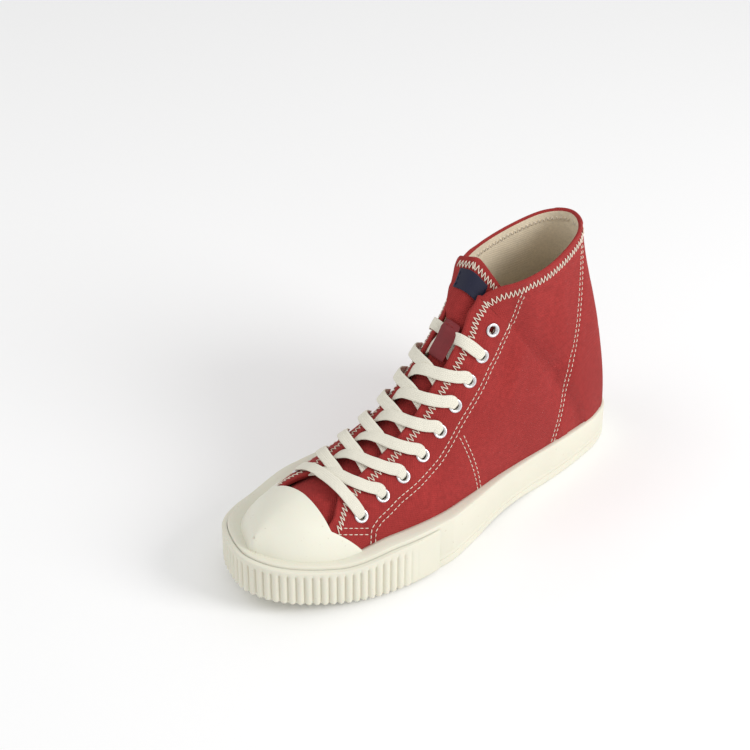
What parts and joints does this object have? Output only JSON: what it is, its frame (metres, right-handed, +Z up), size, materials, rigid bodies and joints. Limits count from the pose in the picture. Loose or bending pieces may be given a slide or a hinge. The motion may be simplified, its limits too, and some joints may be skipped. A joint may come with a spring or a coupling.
{
  "type": "canvas high-top sneaker",
  "caption": "Lace-up canvas high-top sneaker for the left foot, with a rubber toe cap, ribbed toe band and rubber sidewall.",
  "frame": {"origin": "on the floor under the middle of the heel seat, at mount heel_base", "axes": "+X from heel to toe, +Y to the outer (lateral) side of the left foot, +Z up"},
  "size_m": [0.3006, 0.1105, 0.1665],
  "materials": {
    "rubber_sole": "satin vulcanised rubber",
    "rubber_cap": "smooth satin rubber",
    "rubber_badge": "moulded satin rubber",
    "canvas": "plain woven cotton canvas",
    "lining": "brushed cotton lining",
    "leather": "smooth",
    "woven_label": "woven",
    "lace_cotton": "flat woven cotton",
    "eyelet_metal": "satin"
  },
  "bodies": {
    "root": {"outsole": "rubber_sole", "foxing": "rubber_sole", "toe_bumper": "rubber_sole", "toe_cap": "rubber_cap", "upper": "canvas", "tongue": "canvas", "insole": "lining", "lace_keeper": "leather", "tongue_label": "woven_label", "ankle_badge": "rubber_badge", "eyelet_lateral_1": "eyelet_metal", "eyelet_medial_1": "eyelet_metal", "eyelet_lateral_2": "eyelet_metal", "eyelet_medial_2": "eyelet_metal", "eyelet_lateral_3": "eyelet_metal", "eyelet_medial_3": "eyelet_metal", "eyelet_lateral_4": "eyelet_metal", "eyelet_medial_4": "eyelet_metal", "eyelet_lateral_5": "eyelet_metal", "eyelet_medial_5": "eyelet_metal", "eyelet_lateral_6": "eyelet_metal", "eyelet_medial_6": "eyelet_metal", "eyelet_lateral_7": "eyelet_metal", "eyelet_medial_7": "eyelet_metal", "eyelet_lateral_8": "eyelet_metal", "eyelet_medial_8": "eyelet_metal", "eyelet_lateral_9": "eyelet_metal", "eyelet_medial_9": "eyelet_metal", "lace_row_1": "lace_cotton", "lace_row_2": "lace_cotton", "lace_row_3": "lace_cotton", "lace_row_4": "lace_cotton", "lace_row_5": "lace_cotton", "lace_row_6": "lace_cotton", "lace_row_7": "lace_cotton", "lace_row_8": "lace_cotton"}
  },
  "joints": []
}
